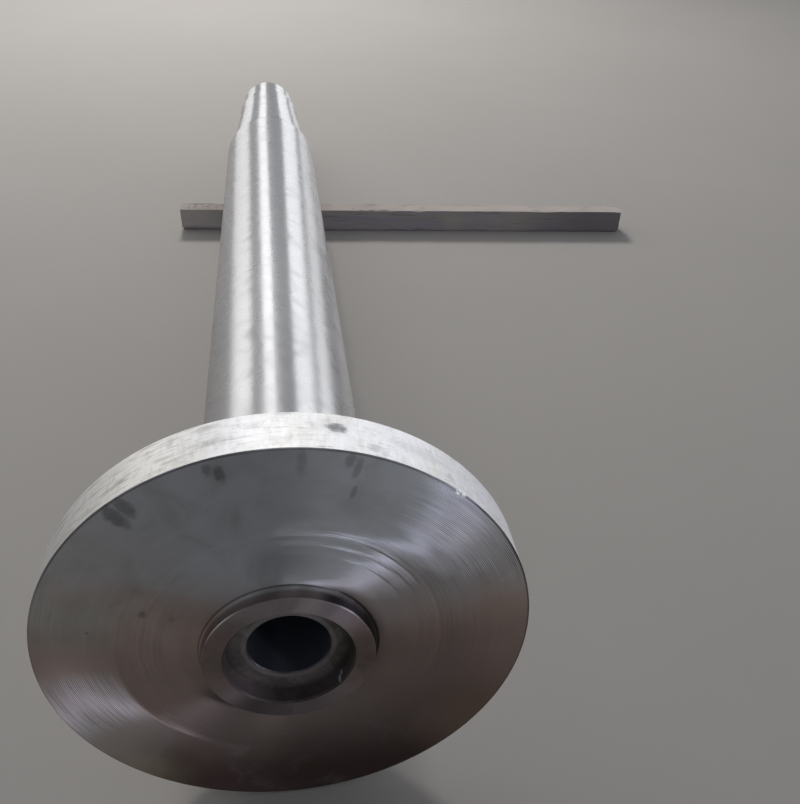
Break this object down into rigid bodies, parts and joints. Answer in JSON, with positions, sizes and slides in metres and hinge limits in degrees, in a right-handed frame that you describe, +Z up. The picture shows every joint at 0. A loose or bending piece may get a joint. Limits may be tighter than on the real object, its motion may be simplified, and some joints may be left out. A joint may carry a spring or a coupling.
{
  "type": "generator shaft",
  "caption": "Turned steel generator shaft with a large coupling flange, raised spigot, shouldered and tapered small end and journal, lying with its body on a squared timber.",
  "frame": {"origin": "on the floor, at the middle of the footprint of shaft and timber", "axes": "+Z up; +Y runs level from the coupling face to the small end, so the shaft's own axis points along +Y and about 3.4 degrees down; +X to the right as seen from the coupling face"},
  "size_m": [1.8348, 3.357, 0.8036],
  "materials": {
    "turned_steel": "bright turned steel with fine turning lines, faint smudges and scratches",
    "weathered_timber": "dark weathered squared timber, rough sawn, with pale dust on top"
  },
  "bodies": {
    "root": {"shaft_forging": "turned_steel", "support_timber": "weathered_timber"}
  },
  "joints": []
}
